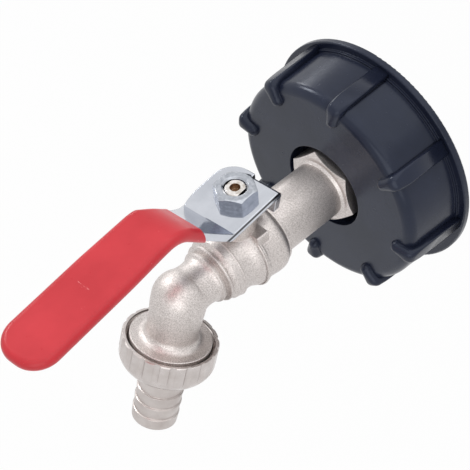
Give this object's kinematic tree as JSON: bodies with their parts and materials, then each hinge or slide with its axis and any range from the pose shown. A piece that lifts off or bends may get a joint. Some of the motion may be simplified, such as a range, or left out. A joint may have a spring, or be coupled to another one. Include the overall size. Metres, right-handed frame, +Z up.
{
  "type": "ibc tank valve",
  "caption": "Ball valve for a bulk container outlet: black plastic screw cap, nickel-plated brass body with bent spout, red-sleeved lever, union nut and hose barb.",
  "frame": {"origin": "centre of the screw cap's open mouth, in the plane of its flange", "axes": "+Y into the tank along the pipe, -Y out of the valve, +Z up along the valve stem, +X to the right seen from the front"},
  "size_m": [0.082, 0.1483, 0.0907],
  "materials": {
    "black_plastic": "moulded, satin",
    "black_rubber": "matte",
    "satin_nickel": "nickel plated, fine blasted grain",
    "seat_plastic": "smooth",
    "bright_chrome": "polished plating",
    "plain_brass": "turned, plated on top",
    "red_sleeve": "dipped vinyl, soft gloss"
  },
  "bodies": {
    "valve": {"cap_shell": "black_plastic", "tank_gasket": "black_rubber", "hex_washer": "black_rubber", "inlet_connector": "satin_nickel", "body_ring": "seat_plastic", "valve_body": "satin_nickel", "inlet_seat": "seat_plastic", "outlet_seat": "seat_plastic", "thrust_washer": "seat_plastic", "tail_washer": "black_rubber"},
    "lever": {"lever_plate": "bright_chrome", "lever_sleeve": "red_sleeve", "lever_nut": "bright_chrome", "stem": "plain_brass", "stem_rings": "black_rubber", "ball": "bright_chrome"},
    "union": {"union_nut": "satin_nickel"},
    "tail": {"hose_tail": "satin_nickel"}
  },
  "joints": [
    {"name": "lever_turn", "type": "hinge", "parent": "valve", "child": "lever", "pos_m": [0, -0.0605, 0.0251], "axis": [0, 0, 1], "range_deg": [-6.2, 83.8]},
    {"name": "union_turn", "type": "hinge", "parent": "valve", "child": "union", "pos_m": [0, -0.09352, -0.01968], "axis": [0, -0.3486, -0.9373], "continuous": true},
    {"name": "tail_turn", "type": "hinge", "parent": "valve", "child": "tail", "pos_m": [0, -0.09457, -0.0225], "axis": [0, -0.3486, -0.9373], "continuous": true}
  ]
}
